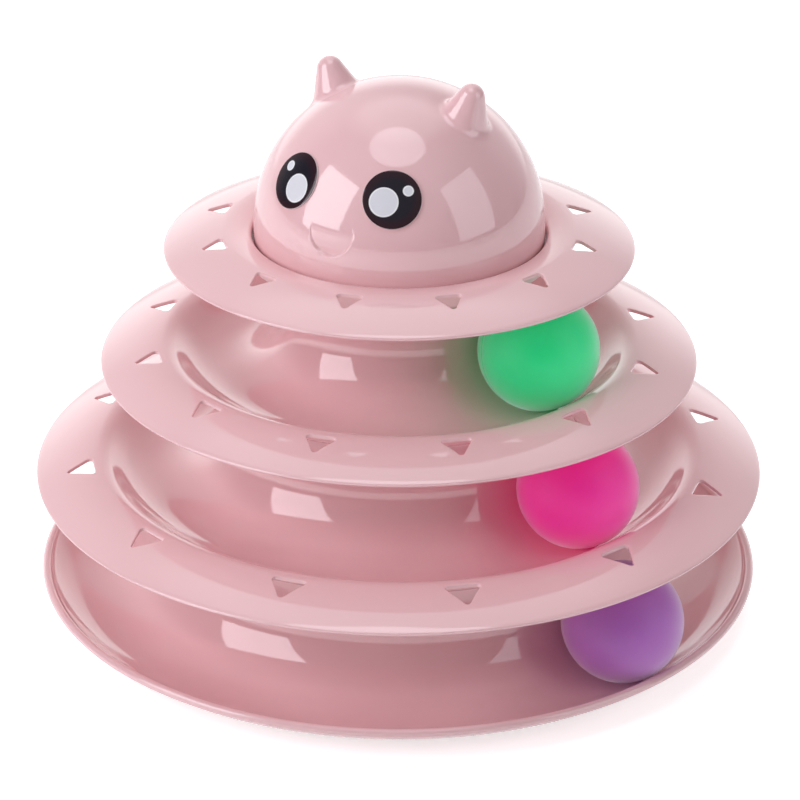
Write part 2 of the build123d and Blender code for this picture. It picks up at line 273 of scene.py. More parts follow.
def make_skin_group():
    """Tone, gloss and ripple of a moulded surface."""
    group = bpy.data.node_groups.new("moulded_skin", "ShaderNodeTree")
    for name, (kind, value) in SKIN_INPUTS.items():
        socket = group.interface.new_socket(name=name, in_out="INPUT", socket_type=kind)
        socket.default_value = value
    for name, kind in SKIN_OUTPUTS.items():
        group.interface.new_socket(name=name, in_out="OUTPUT", socket_type=kind)
    given = group.nodes.new("NodeGroupInput").outputs
    result = group.nodes.new("NodeGroupOutput").inputs
    place = group.nodes.new("ShaderNodeTexCoord").outputs["Object"]

    tone = noise_in(group, place, given["Tone Scale"], TONE_DETAIL)
    mix = group.nodes.new("ShaderNodeMix")
    mix.data_type = "RGBA"
    group.links.new(swing(group, tone, given["Tone Amount"], given["Tone Middle"]), mix.inputs["Factor"])
    group.links.new(given["Color"], mix.inputs["A"])
    group.links.new(given["Deep Color"], mix.inputs["B"])
    group.links.new(mix.outputs["Result"], result["Color"])

    smudge = noise_in(group, place, given["Gloss Scale"], GLOSS_DETAIL)
    gloss = swing(group, smudge, given["Roughness Swing"], given["Roughness"])
    group.links.new(gloss, result["Roughness"])
    group.links.new(noise_in(group, place, given["Ripple Scale"], RIPPLE_DETAIL), result["Ripple"])
    return group


skin_group = make_skin_group()
print("group:", skin_group.name, [s.name for s in skin_group.interface.items_tree])

# %% Pink plastic
GLOSS_SKIN = {
    "Tone Scale": 14.0,
    "Tone Amount": 0.5,
    "Gloss Scale": 45.0,
    "Roughness": 0.07,
    "Roughness Swing": 0.02,
    "Ripple Scale": 160.0,
}
PINK = (0.910, 0.578, 0.600)
PINK_DEEP = (0.900, 0.563, 0.585)
PINK_IOR = 1.7
PINK_RIPPLE = 0.006 * MM


def moulded(name, color, deep, skin, ripple_depth):
    """A material with the moulded skin; skin holds the group's own values. Returns it and its shader."""
    material = bpy.data.materials.new(name)
    material.use_nodes = True
    tree = material.node_tree
    shader = tree.nodes["Principled BSDF"]
    surface = tree.nodes.new("ShaderNodeGroup")
    surface.node_tree = skin_group
    surface.inputs["Color"].default_value = (*color, 1.0)
    surface.inputs["Deep Color"].default_value = (*deep, 1.0)
    for socket, value in skin.items():
        surface.inputs[socket].default_value = value
    bump = tree.nodes.new("ShaderNodeBump")
    bump.inputs["Strength"].default_value = 1.0
    bump.inputs["Distance"].default_value = ripple_depth
    tree.links.new(surface.outputs["Color"], shader.inputs["Base Color"])
    tree.links.new(surface.outputs["Roughness"], shader.inputs["Roughness"])
    tree.links.new(surface.outputs["Ripple"], bump.inputs["Height"])
    tree.links.new(bump.outputs["Normal"], shader.inputs["Normal"])
    print("material:", material.name)
    return material, shader


pink, pink_shader = moulded("pink_plastic", PINK, PINK_DEEP, GLOSS_SKIN, PINK_RIPPLE)
pink_shader.inputs["IOR"].default_value = PINK_IOR

# %% [markdown]
# ## Drawing a profile
# Nearly every piece here is round, so it can be made as a potter would: draw half of its section, then
# turn it about the axis. A profile starts as one vertex. Straight runs extrude that vertex, and round runs
# spin it about the arc's centre, so that each arc is a true arc with as many steps as it needs. In the
# profile, X is the radius and Z is the height.

# %% Profile helpers
MERGE_GAP = 0.002 * MM


def start_profile(name, radius, height):
    """A new object of a single vertex, left in edit mode: the pen of a profile."""
    bpy.ops.object.select_all(action="DESELECT")
    bpy.ops.mesh.primitive_plane_add(size=MM, calc_uvs=False)
    piece = bpy.context.object
    piece.name = name
    bpy.ops.object.mode_set(mode="EDIT")
    bpy.ops.mesh.select_mode(type="VERT")
    bpy.ops.mesh.select_all(action="SELECT")
    bpy.ops.mesh.merge(type="CENTER")
    bpy.ops.transform.translate(value=(radius, 0, height))
    return piece


def line_to(piece, radius, height, steps=1):
    """A straight run from the pen to a point, in equal steps."""
    pen = next(v.co.copy() for v in bmesh.from_edit_mesh(piece.data).verts if v.select)
    stride = (Vector((radius, 0, height)) - pen) / steps
    for _ in range(steps):
        bpy.ops.mesh.extrude_region_move(TRANSFORM_OT_translate={"value": stride})


def arc(centre, sweep, steps):
    """A round run from the pen about a centre, from +X towards +Z."""
    middle = (centre[0], 0, centre[1])
    bpy.ops.mesh.spin(steps=steps, angle=math.radians(sweep), center=middle, axis=(0, 1, 0))


def on_circle(centre, radius, angle):
    """The point of a profile's circle at an angle, from +X towards +Z."""
    turn = math.radians(angle)
    return (centre[0] + radius * math.cos(turn), centre[1] + radius * math.sin(turn))


def turn_profile(sweep, steps):
    """Turns the whole profile about the Z axis, anticlockwise seen from above."""
    bpy.ops.mesh.select_all(action="SELECT")
    bpy.ops.mesh.spin(steps=steps, angle=math.radians(sweep), center=(0, 0, 0), axis=(0, 0, -1))


def close_mesh(piece):
    """Merges the seams, turns the faces outwards and leaves edit mode."""
    bpy.ops.mesh.select_all(action="SELECT")
    bpy.ops.mesh.remove_doubles(threshold=MERGE_GAP)
    bpy.ops.mesh.normals_make_consistent(inside=False)
    bpy.ops.object.mode_set(mode="OBJECT")


# %% Finishing a piece
def select_only(piece):
    """Makes a piece the one object that is selected and active."""
    bpy.ops.object.select_all(action="DESELECT")
    piece.select_set(True)
    bpy.context.view_layer.objects.active = piece


def finish_piece(piece, node, body, material, crease=40):
    """Shades a piece, paints it, and lets it stand for a CAD node on that node's body."""
    select_only(piece)
    bpy.ops.object.transform_apply(location=True, rotation=True, scale=True)
    bpy.ops.object.shade_smooth_by_angle(angle=math.radians(crease))
    piece.data.materials.clear()
    piece.data.materials.append(material)
    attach(piece, body)
    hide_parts(node)
    triangles = sum(len(p.vertices) - 2 for p in piece.data.polygons)
    print(piece.name, "triangles", triangles)


# %% [markdown]
# ## Sizes
# The CAD model was drawn from a few sizes, and they are repeated here in metres. The rest are worked out
# from them, in the same way: the track is a little wider than the ball, and each hub stands a step further
# out than the one over it.

# %% Sizes of the stack
WALL = 2.4 * MM
TRACK_PLAY = 2.0 * MM
FOOT_HEIGHT = 2.0 * MM
POCKET_FLOOR = 0.2 * MM
BALL_RADIUS = (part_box("purple_ball")[1].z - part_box("purple_ball")[0].z) / 2
TRACK_RADIUS = BALL_RADIUS + TRACK_PLAY
TRACK_STEP = TRACK_RADIUS + WALL / 2
MIDDLE_HUB = 36.15 * MM
LOWER_HUB = MIDDLE_HUB + TRACK_STEP
BASE_HUB = LOWER_HUB + TRACK_STEP
BASE_TRACK = BASE_HUB + TRACK_RADIUS
BASE_Z = FOOT_HEIGHT + POCKET_FLOOR + WALL
HUB_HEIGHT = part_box("base_tray")[1].z - BASE_Z
TRACK_PITCH = HUB_HEIGHT + WALL
LOWER_Z = BASE_Z + TRACK_PITCH
MIDDLE_Z = LOWER_Z + TRACK_PITCH
CROWN_Z = MIDDLE_Z + TRACK_PITCH
print("track pitch in mm:", round(TRACK_PITCH / MM, 2))

# %% Sizes of the brims and spigots
OUTER_PLAY = 1.0 * MM
OUTER_RADIUS = BALL_RADIUS + OUTER_PLAY
OUTER_SLOPE = 40.0
CREST_INSET = 0.6 * MM
CREST_REACH = TRACK_RADIUS - CREST_INSET
CREST_RADIUS = 7.0 * MM
CREST_SLOPE = 6.7
BRIM_ARC = 62.0 * MM
BRIM_WALL = 1.3 * MM
slope = math.radians(OUTER_SLOPE)
SLOPE_RUN = (CREST_REACH - (OUTER_RADIUS + CREST_RADIUS) * math.sin(slope)) / math.cos(slope)
SLOPE_TOP = OUTER_RADIUS * (1 - math.cos(slope)) + SLOPE_RUN * math.sin(slope)
CREST_Z = SLOPE_TOP - CREST_RADIUS * math.cos(slope)
CREST_TO_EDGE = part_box("lower_tier")[1].x - (LOWER_HUB + TRACK_RADIUS + CREST_REACH)
SPIGOT_DEPTH = 9.0 * MM
SPIGOT_WALL = 2.0 * MM
SPIGOT_CLEARANCE = 0.35 * MM
RIB_COUNT = 6
RIB_HEIGHT = 0.2 * MM
EDGE_EASE = 0.3 * MM
print("crest to edge in mm:", round(CREST_TO_EDGE / MM, 2))

# %% [markdown]
# ## Brims with three-cornered holes
# Cutting a hole into a glossy curved sheet with a boolean leaves long thin faces, and their bent normals
# show as dents in the reflections. So the brim is modelled as one twelfth of a turn, with one hole: a
# window of faces is deleted above and below, and the window's border is extruded loop by loop, in to the
# hole's rounded outline, over its eased edge, down its wall and out again under the brim. Every loop lies
# on the brim's own arcs, so the surface stays true.

# %% The hole's outline
CORNER_SHARE = 0.30
TIP_SHARE = 0.15


def hole_outline(width, length, corner, half_count):
    """Skeleton points and outward normals of a rounded triangle, in (across, outward) about its flat side.

    Half of it runs from the middle of the flat side round one corner to the tip, in half_count steps.
    A point of the outline is its skeleton point plus its normal times the corner's radius.
    """
    slant = math.hypot(width / 2, length)
    inradius = width * length / (width + 2 * slant)
    heart = np.array([0.0, inradius])
    shrink = 1 - corner / inradius
    side = heart + (np.array([width / 2, 0.0]) - heart) * shrink
    tip = heart + (np.array([0.0, length]) - heart) * shrink
    start = np.array([0.0, side[1]])
    lean = math.degrees(math.atan2(width / 2, length))

    corner_steps = round(CORNER_SHARE * half_count)
    tip_steps = round(TIP_SHARE * half_count)
    straight = half_count - corner_steps - tip_steps
    share = side[0] / (side[0] + np.linalg.norm(tip - side))
    flat_steps = max(1, round(straight * share))
    runs = [
        (start, side, -90.0, -90.0, flat_steps),
        (side, side, -90.0, lean, corner_steps),
        (side, tip, lean, lean, straight - flat_steps),
        (tip, tip, lean, 90.0, tip_steps),
    ]
    points, normals = [start], [(0.0, -1.0)]
    for a, b, from_angle, to_angle, steps in runs:
        for k in range(1, steps + 1):
            t = k / steps
            angle = math.radians(from_angle + (to_angle - from_angle) * t)
            points.append(a + (b - a) * t)
            normals.append((math.cos(angle), math.sin(angle)))
    mirror = np.array([-1.0, 1.0])
    points = np.array(points)
    normals = np.array(normals)
    points = np.vstack([points, (points * mirror)[-2:0:-1]])
    normals = np.vstack([normals, (normals * mirror)[-2:0:-1]])
    return points, normals


# %% The brim's arcs
class Brim:
    """The arcs of a brim's top, from the crest outwards: (centre, radius, last angle, steps)."""

    def __init__(self, arcs, first_angle):
        self.arcs = arcs
        self.first_angle = first_angle

    def height(self, radius, drop):
        """The brim's height at a radius; drop is 0 on its top and the wall's thickness underneath."""
        for centre, size, last, _ in self.arcs:
            if radius <= on_circle(centre, size - drop, last)[0]:
                break
        return centre[1] + math.sqrt((size - drop) ** 2 - (radius - centre[0]) ** 2)

    def rows(self, drop, reach):
        """The profile's own points, out to the last one whose top lies within a radius."""
        angle = self.first_angle
        spots = [(*self.arcs[0][:2], angle)]
        for centre, size, last, steps in self.arcs:
            spots += [(centre, size, angle + (last - angle) * k / steps) for k in range(1, steps + 1)]
            angle = last
        return [on_circle(c, s - drop, a) for c, s, a in spots if on_circle(c, s, a)[0] <= reach]


# %% A window in the sector
SECTOR_COUNT = 12
SECTOR_STEPS = 36
SECTOR_STEP = math.radians(360 / SECTOR_COUNT / SECTOR_STEPS)
SECTOR_MIDDLE = math.radians(180 / SECTOR_COUNT)
WINDOW_MARGIN = 2.2 * MM


def window_border(rows, half_width):
    """The window's border points in order, from the middle of its inner side, anticlockwise."""
    last = len(rows) - 1
    route = [(0, k) for k in range(half_width)]
    route += [(row, half_width) for row in range(last)]
    route += [(last, k) for k in range(half_width, -half_width, -1)]
    route += [(row, -half_width) for row in range(last, 0, -1)]
    route += [(0, k) for k in range(-half_width, 0)]
    points = []
    for row, k in route:
        radius, height = rows[row]
        turn = SECTOR_MIDDLE + k * SECTOR_STEP
        points.append((radius * math.cos(turn), radius * math.sin(turn), height))
    return np.array(points)


def delete_window(piece, brim, top_rows, low_rows, half_width):
    """Deletes the sector's faces between these rows, on the brim's top and underneath."""
    bpy.ops.mesh.select_mode(type="FACE")
    bpy.ops.mesh.select_all(action="DESELECT")
    mesh = bmesh.from_edit_mesh(piece.data)
    for surface in mesh.faces:
        spot = surface.calc_center_median()
        radius = math.hypot(spot.x, spot.y)
        if abs(math.atan2(spot.y, spot.x) - SECTOR_MIDDLE) > half_width * SECTOR_STEP:
            continue
        for rows, drop in ((top_rows, 0.0), (low_rows, BRIM_WALL)):
            within = rows[0][0] < radius < rows[-1][0]
            if within and abs(spot.z - brim.height(radius, drop)) < BRIM_WALL / 4:
                surface.select_set(True)
    bpy.ops.mesh.delete(type="FACE")


# %% Opening one hole in a sector
HOLE_OFFSET = 1.8 * MM
HOLE_CORNER = 1.1 * MM
NEAR_LOOP = 0.4 * MM
FAR_LOOP = 1.1 * MM
BORDER_SHARE = 0.45
TOUCHING = 0.001 * MM


def hole_loops(brim, inner, hole, top, low):
    """The loops from the window's upper border, through the hole, to its lower border."""
    skeleton, normals = hole_outline(hole["width"], hole["length"], HOLE_CORNER, len(top) // 2)
    cosine, sine = math.cos(SECTOR_MIDDLE), math.sin(SECTOR_MIDDLE)
    back = np.array([[cosine, sine], [-sine, cosine]])

    def placed(shape, drop, lift):
        """Points of the hole's plane, put on the brim's top or underside and lifted."""
        plan = np.column_stack([inner + shape[:, 1], shape[:, 0]]) @ back
        heights = [brim.height(math.hypot(x, y), drop) + lift for x, y in plan]
        return np.column_stack([plan, heights])

    def rim(out, drop, lift=0.0):
        """The hole's outline, moved outwards."""
        return placed(skeleton + normals * (HOLE_CORNER + out), drop, lift)

    def between(border, drop):
        """A loop part of the way from the hole to the window's border."""
        turned = border[:, :2] @ back.T
        flat = np.column_stack([turned[:, 1], turned[:, 0] - inner])
        wide = skeleton + normals * (HOLE_CORNER + EDGE_EASE + FAR_LOOP)
        return placed(flat * BORDER_SHARE + wide * (1 - BORDER_SHARE), drop, 0.0)

    bend = EDGE_EASE * (1 - math.sqrt(0.5))
    return [
        top,
        between(top, 0.0),
        rim(EDGE_EASE + NEAR_LOOP, 0.0),
        rim(EDGE_EASE, 0.0),
        rim(bend, 0.0, -bend),
        rim(0.0, 0.0, -EDGE_EASE),
        rim(0.0, BRIM_WALL, EDGE_EASE),
        rim(bend, BRIM_WALL, bend),
        rim(EDGE_EASE, BRIM_WALL),
        rim(EDGE_EASE + NEAR_LOOP, BRIM_WALL),
        between(low, BRIM_WALL),
        low,
    ]


def nearest(points, place):
    """The index of the point nearest to a place, and how far off it is."""
    gaps = np.linalg.norm(points - np.array(place), axis=1)
    index = int(gaps.argmin())
    return index, gaps[index]


def open_hole(piece, brim, inner, hole):
    """Deletes the window above and below, then extrudes its border through the hole, loop by loop."""
    half_width = math.ceil((hole["width"] / 2 + WINDOW_MARGIN) / inner / SECTOR_STEP)
    reach = inner + hole["length"] + WINDOW_MARGIN
    top_rows = brim.rows(0.0, reach)
    low_rows = brim.rows(BRIM_WALL, reach)
    delete_window(piece, brim, top_rows, low_rows, half_width)
    top = window_border(top_rows, half_width)
    low = window_border(low_rows, half_width)

    bpy.ops.mesh.select_mode(type="VERT")
    bpy.ops.mesh.select_all(action="DESELECT")
    mesh = bmesh.from_edit_mesh(piece.data)
    for vertex in mesh.verts:
        if nearest(top, vertex.co)[1] < TOUCHING:
            vertex.select_set(True)
    mesh.select_flush(True)
    loops = hole_loops(brim, inner, hole, top, low)
    for before, after in zip(loops, loops[1:]):
        bpy.ops.mesh.extrude_region()
        mesh = bmesh.from_edit_mesh(piece.data)
        for vertex in mesh.verts:
            if vertex.select:
                vertex.co = after[nearest(before, vertex.co)[0]]
        bmesh.update_edit_mesh(piece.data)


# %% [markdown]
# ## The two dished tiers
# A tier is one moulding: a hub that the next tier stands on, a track with a round bottom and a straight
# outer slope, a crest, and a thinner brim that falls to a rounded edge. Underneath, a flat land sits on the
# hub below, and a spigot with six fine ribs plugs into it. The profile follows that section all the way
# round and back. It is turned by one twelfth, gets its hole, and is copied round the axis.

# %% Brim and edge of a profile
BRIM_STEPS = 16
EDGE_STEPS = 8


def brim_arc(crest):
    """Centre of the brim's arc, and its angle at the edge, for a crest of this radius."""
    run = BRIM_ARC - CREST_RADIUS
    lean = math.radians(CREST_SLOPE)
    centre = (crest - run * math.sin(lean), CREST_Z - run * math.cos(lean))
    reach = crest + CREST_TO_EDGE - BRIM_WALL / 2 - centre[0]
    return centre, math.degrees(math.acos(reach / (BRIM_ARC - BRIM_WALL / 2)))


def draw_brim(crest, from_angle, crest_steps):
    """From the crest's top, out over the brim, round its edge, and back to the crest's underside."""
    start = 90 - CREST_SLOPE
    centre, edge = brim_arc(crest)
    arc((crest, CREST_Z), start - from_angle, crest_steps)
    arc(centre, edge - start, BRIM_STEPS)
    arc(on_circle(centre, BRIM_ARC - BRIM_WALL / 2, edge), -180, EDGE_STEPS)
    arc(centre, start - edge, BRIM_STEPS)
    arc((crest, CREST_Z), from_angle - start, crest_steps)


# %% Spigot and ribs
RIB_TOLERANCE = 0.01 * MM
RIB_HALF_TURN = 0.505 * SECTOR_STEP


def spigot_outside(hub):
    """The outer radius of the spigot that plugs into a hub."""
    return hub - WALL - SPIGOT_CLEARANCE


def draw_spigot(piece, hub, floor_z):
    """Under a tier, from the outside of the hub below inwards: the land, then the spigot, down and up."""
    outer = spigot_outside(hub)
    inner = outer - SPIGOT_WALL
    low = -WALL - SPIGOT_DEPTH
    line_to(piece, hub, -WALL)
    line_to(piece, outer, -WALL, steps=2)
    line_to(piece, outer, low + EDGE_EASE, steps=3)
    line_to(piece, outer - EDGE_EASE, low)
    line_to(piece, inner + EDGE_EASE, low)
    line_to(piece, inner, low + EDGE_EASE)
    line_to(piece, inner, floor_z, steps=3)


def raise_ribs(piece, hub, height):
    """Draws out a fine upright rib from the spigot at six places round it."""
    outer = spigot_outside(hub)
    top = height - WALL
    pitch = 2 * math.pi / RIB_COUNT
    for vertex in piece.data.vertices:
        radius = math.hypot(vertex.co.x, vertex.co.y)
        upright = top - SPIGOT_DEPTH < vertex.co.z < top + RIB_TOLERANCE
        if abs(radius - outer) > RIB_TOLERANCE or not upright:
            continue
        turn = math.atan2(vertex.co.y, vertex.co.x) / pitch
        if abs(turn - round(turn)) * pitch <= RIB_HALF_TURN:
            vertex.co.x *= (radius + RIB_HEIGHT) / radius
            vertex.co.y *= (radius + RIB_HEIGHT) / radius


def finish_sector(piece, brim, crest, hole, hub_below, height):
    """Opens the sector's hole, copies the sector round the axis, lifts the piece and adds its ribs."""
    open_hole(piece, brim, crest + HOLE_OFFSET, hole)
    bpy.ops.mesh.select_all(action="SELECT")
    copies = SECTOR_COUNT - 1
    sweep = math.radians(360 * copies / SECTOR_COUNT)
    bpy.ops.mesh.spin(steps=copies, angle=sweep, center=(0, 0, 0), axis=(0, 0, -1), dupli=True)
    close_mesh(piece)
    turned = Matrix.Rotation(math.radians(hole["turn"]), 4, "Z")
    piece.data.transform(Matrix.Translation((0, 0, height)) @ turned)
    raise_ribs(piece, hub_below, height)


# %% Tiers
TRACK_STEPS = 30
CREST_STEPS = 12
WINDOW_CREST_STEPS = 4
WALL_STEPS = 5
SLOPE_STEPS = 3
LOWER_HOLE = {"width": 13.0 * MM, "length": 9.9 * MM, "turn": -3.9}
MIDDLE_HOLE = {"width": 11.4 * MM, "length": 9.2 * MM, "turn": -2.2}


def start_hub(name, hub):
    """A profile that starts on a hub's top and runs down its outside to the middle of the track."""
    piece = start_profile(name, hub - EDGE_EASE, HUB_HEIGHT)
    line_to(piece, hub, HUB_HEIGHT - EDGE_EASE)
    line_to(piece, hub, TRACK_RADIUS, WALL_STEPS)
    return piece


def end_hub(piece, hub):
    """The end of such a profile, up the hub's inside and across its top."""
    line_to(piece, hub - WALL, HUB_HEIGHT - EDGE_EASE, WALL_STEPS)
    line_to(piece, hub - WALL + EDGE_EASE, HUB_HEIGHT)
    line_to(piece, hub - EDGE_EASE, HUB_HEIGHT)


def make_tier(name, hub_below, hole, height):
    """A dished track with its hub, brim, holes and spigot."""
    track = hub_below - WALL / 2
    hub = track - TRACK_RADIUS
    centre = (track, TRACK_RADIUS)
    outer_centre = (track, OUTER_RADIUS)
    crest = track + CREST_REACH
    crest_angle = 90 + OUTER_SLOPE
    under = OUTER_RADIUS + WALL
    outer = TRACK_RADIUS + WALL
    piece = start_hub(name, hub)
    arc(centre, 90, TRACK_STEPS // 2)
    arc(outer_centre, OUTER_SLOPE, TRACK_STEPS // 3)
    line_to(piece, *on_circle((crest, CREST_Z), CREST_RADIUS, crest_angle), SLOPE_STEPS)
    draw_brim(crest, crest_angle, CREST_STEPS)
    line_to(piece, *on_circle(outer_centre, under, 270 + OUTER_SLOPE), SLOPE_STEPS)
    land = math.degrees(math.asin((hub_below - track) / under))
    arc(outer_centre, land - OUTER_SLOPE, TRACK_STEPS // 3)
    spigot_inner = spigot_outside(hub_below) - SPIGOT_WALL
    inner_angle = 270 - math.degrees(math.asin((track - spigot_inner) / outer))
    draw_spigot(piece, hub_below, on_circle(centre, outer, inner_angle)[1])
    arc(centre, 180 - inner_angle, TRACK_STEPS // 2)
    end_hub(piece, hub)
    turn_profile(360 / SECTOR_COUNT, SECTOR_STEPS)

    brim_centre, edge = brim_arc(crest)
    crest_turn = (OUTER_SLOPE + CREST_SLOPE) / CREST_STEPS
    arcs = [
        ((crest, CREST_Z), CREST_RADIUS, 90 - CREST_SLOPE, WINDOW_CREST_STEPS),
        (brim_centre, BRIM_ARC, edge, BRIM_STEPS),
    ]
    brim = Brim(arcs, 90 - CREST_SLOPE + WINDOW_CREST_STEPS * crest_turn)
    finish_sector(piece, brim, crest, hole, hub_below, height)
    return piece


lower_tier = make_tier("lower_tier_moulding", BASE_HUB, LOWER_HOLE, LOWER_Z)
finish_piece(lower_tier, "lower_tier", "lower", pink)
middle_tier = make_tier("middle_tier_moulding", LOWER_HUB, MIDDLE_HOLE, MIDDLE_Z)
finish_piece(middle_tier, "middle_tier", "middle", pink)

# %% [markdown]
# ## The crown
# The top dish has the same brim. Inside it a rounded collar drops to a ledge that the head's skirt stands
# on, an upstand behind the ledge centres the head, and a floor closes the hub. The gap between collar and
# skirt shows as the thin dark line round the dome.

# %% Crown
HEAD_OVERHANG = 12.25 * MM
DOME_RADIUS = MIDDLE_HUB + HEAD_OVERHANG
DOME_WALL = 2.2 * MM
CROWN_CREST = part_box("crown_tier")[1].x - CREST_TO_EDGE
CROWN_HOLE = {"width": 10.0 * MM, "length": 8.5 * MM, "turn": 0.0}
COLLAR_ARC = 26.0 * MM
COLLAR_ROUND = 2.0 * MM
COLLAR_NEAR = 93.0
COLLAR_STEPS = 8
COLLAR_UNDER_STEPS = 6
CROWN_CREST_STEPS = 2
SEAM_GAP = 0.5 * MM
LEDGE_HEIGHT = 3.5 * MM
UPSTAND_WALL = 2.0 * MM
UPSTAND_HEIGHT = 4.5 * MM
UPSTAND_CLEARANCE = 0.3 * MM
FLOOR_MARGIN = 2.0 * MM


def make_crown(name, hub_below, hole, height):
    """The top dish, with its ledge, upstand, floor, holes and spigot."""
    seat = DOME_RADIUS + SEAM_GAP
    outside = seat + WALL
    crest = CROWN_CREST
    collar = (crest, CREST_Z + CREST_RADIUS - COLLAR_ARC)
    turn = math.degrees(math.acos((seat + COLLAR_ROUND - crest) / (COLLAR_ARC - COLLAR_ROUND)))
    round_centre = on_circle(collar, COLLAR_ARC - COLLAR_ROUND, turn)
    under_turn = math.degrees(math.acos((outside - crest) / (COLLAR_ARC - BRIM_WALL)))
    foot = LEDGE_HEIGHT - WALL
    upstand = DOME_RADIUS - DOME_WALL - UPSTAND_CLEARANCE
    upstand_inner = upstand - UPSTAND_WALL
    upstand_top = LEDGE_HEIGHT + UPSTAND_HEIGHT
    floor_edge = hub_below + FLOOR_MARGIN

    piece = start_profile(name, 0, 0)
    line_to(piece, floor_edge - WALL, 0, steps=6)
    line_to(piece, upstand_inner, LEDGE_HEIGHT, steps=2)
    line_to(piece, upstand_inner, upstand_top - EDGE_EASE, steps=2)
    line_to(piece, upstand_inner + EDGE_EASE, upstand_top)
    line_to(piece, upstand - EDGE_EASE, upstand_top)
    line_to(piece, upstand, upstand_top - EDGE_EASE)
    line_to(piece, upstand, LEDGE_HEIGHT, steps=2)
    line_to(piece, seat, LEDGE_HEIGHT)
    line_to(piece, seat, round_centre[1], steps=3)
    arc(round_centre, turn - 180, COLLAR_STEPS)
    arc(collar, COLLAR_NEAR - turn, COLLAR_STEPS)
    arc(collar, 90 - COLLAR_NEAR, 1)
    draw_brim(crest, 90, CROWN_CREST_STEPS)
    arc(collar, COLLAR_NEAR - 90, 1)
    arc(collar, under_turn - COLLAR_NEAR, COLLAR_UNDER_STEPS)
    line_to(piece, outside, foot, steps=2)
    line_to(piece, upstand, foot, steps=2)
    line_to(piece, floor_edge, -WALL, steps=2)
    draw_spigot(piece, hub_below, -WALL)
    line_to(piece, 0, -WALL, steps=5)
    turn_profile(360 / SECTOR_COUNT, SECTOR_STEPS)

    brim_centre, edge = brim_arc(crest)
    arcs = [
        (collar, COLLAR_ARC, 90, 1),
        ((crest, CREST_Z), CREST_RADIUS, 90 - CREST_SLOPE, CROWN_CREST_STEPS),
        (brim_centre, BRIM_ARC, edge, BRIM_STEPS),
    ]
    finish_sector(piece, Brim(arcs, COLLAR_NEAR), crest, hole, hub_below, height)
    return piece


crown_tier = make_crown("crown_tier_moulding", MIDDLE_HUB, CROWN_HOLE, CROWN_Z)
finish_piece(crown_tier, "crown_tier", "crown", pink)

# %% [markdown]
# ## The base tray
# The lowest track ends in a rolled lip, a bead that is a little thicker than the wall. Its profile is
# turned all the way round at once. Six bosses with shallow pockets hold the feet. They start as cylinders,
# are cut to the round underside of the track with a torus, and are joined on. Booleans are fine here: the
# bosses are underneath, where no reflection shows a dent.

# %% Cylinders and booleans
FOOT_COUNT = 6
FOOT_INSET = 9.5 * MM
FOOT_CIRCLE = BASE_TRACK - FOOT_INSET
POCKET_STEPS = 64


def apply_boolean(piece, tool, operation):
    """Joins or cuts a tool object, then deletes it."""
    select_only(piece)
    cut = piece.modifiers.new("cut", "BOOLEAN")
    cut.operation = operation
    cut.solver = "EXACT"
    cut.object = tool
    bpy.ops.object.modifier_apply(modifier=cut.name)
    bpy.data.objects.remove(tool)


def foot_place(k):
    """The middle of a foot, on the floor."""
    return FOOT_CIRCLE * direction(k * 360 / FOOT_COUNT, 0)


def discs_under_tray(name, radius, low, high):
    """Short cylinders where the feet are, as one object."""
    bpy.ops.object.select_all(action="DESELECT")
    made = []
    for k in range(FOOT_COUNT):
        middle = foot_place(k)
        middle.z = (low + high) / 2
        bpy.ops.mesh.primitive_cylinder_add(
            vertices=POCKET_STEPS, radius=radius, depth=high - low, location=middle
        )
        made.append(bpy.context.object)
    for disc in made:
        disc.select_set(True)
    bpy.ops.object.join()
    bpy.context.object.name = name
    bpy.ops.object.transform_apply(location=True, rotation=True, scale=True)
    return bpy.context.object


# %% Base tray
LIP_HEIGHT = 6.27 * MM
LIP_BEAD = 1.5 * MM
LIP_STEPS = 20
FOOT_RADIUS = 7.0 * MM
FOOT_STANDOFF = 1.2 * MM
FOOT_CLEARANCE = 0.15 * MM
BOSS_RIM = 1.4 * MM
BASE_STEPS = 360


def make_base_tray(name):
    """Hub, track and rolled lip, with bosses and pockets under them."""
    centre = (BASE_TRACK, TRACK_RADIUS)
    middle = TRACK_RADIUS + WALL / 2
    outer = TRACK_RADIUS + WALL
    end = math.degrees(math.asin((TRACK_RADIUS - LIP_HEIGHT) / middle))
    lip = on_circle(centre, middle, -end)

    def bead_meets(radius):
        """Where the bead meets a wall of this radius: the angles on the track's arc and on the bead."""
        cosine = (radius**2 + middle**2 - LIP_BEAD**2) / (2 * radius * middle)
        stop = 360 - end - math.degrees(math.acos(cosine))
        point = on_circle(centre, radius, stop)
        return stop, math.degrees(math.atan2(point[1] - lip[1], point[0] - lip[0]))

    inner_stop, from_angle = bead_meets(TRACK_RADIUS)
    outer_stop, to_angle = bead_meets(outer)
    piece = start_hub(name, BASE_HUB)
    arc(centre, inner_stop - 180, TRACK_STEPS)
    arc(lip, to_angle - from_angle, LIP_STEPS)
    arc(centre, 180 - outer_stop, TRACK_STEPS)
    end_hub(piece, BASE_HUB)
    turn_profile(360, BASE_STEPS)
    close_mesh(piece)
    piece.data.transform(Matrix.Translation((0, 0, BASE_Z)))

    pocket = FOOT_RADIUS + FOOT_CLEARANCE
    track_middle = BASE_Z + TRACK_RADIUS
    bosses = discs_under_tray("bosses", pocket + BOSS_RIM, FOOT_STANDOFF, track_middle)
    bpy.ops.mesh.primitive_torus_add(
        major_radius=BASE_TRACK,
        minor_radius=middle,
        major_segments=BASE_STEPS,
        minor_segments=POCKET_STEPS,
        location=(0, 0, track_middle),
    )
    apply_boolean(bosses, bpy.context.object, "DIFFERENCE")
    apply_boolean(piece, bosses, "UNION")
    apply_boolean(piece, discs_under_tray("pockets", pocket, 0.0, FOOT_HEIGHT), "DIFFERENCE")
    return piece


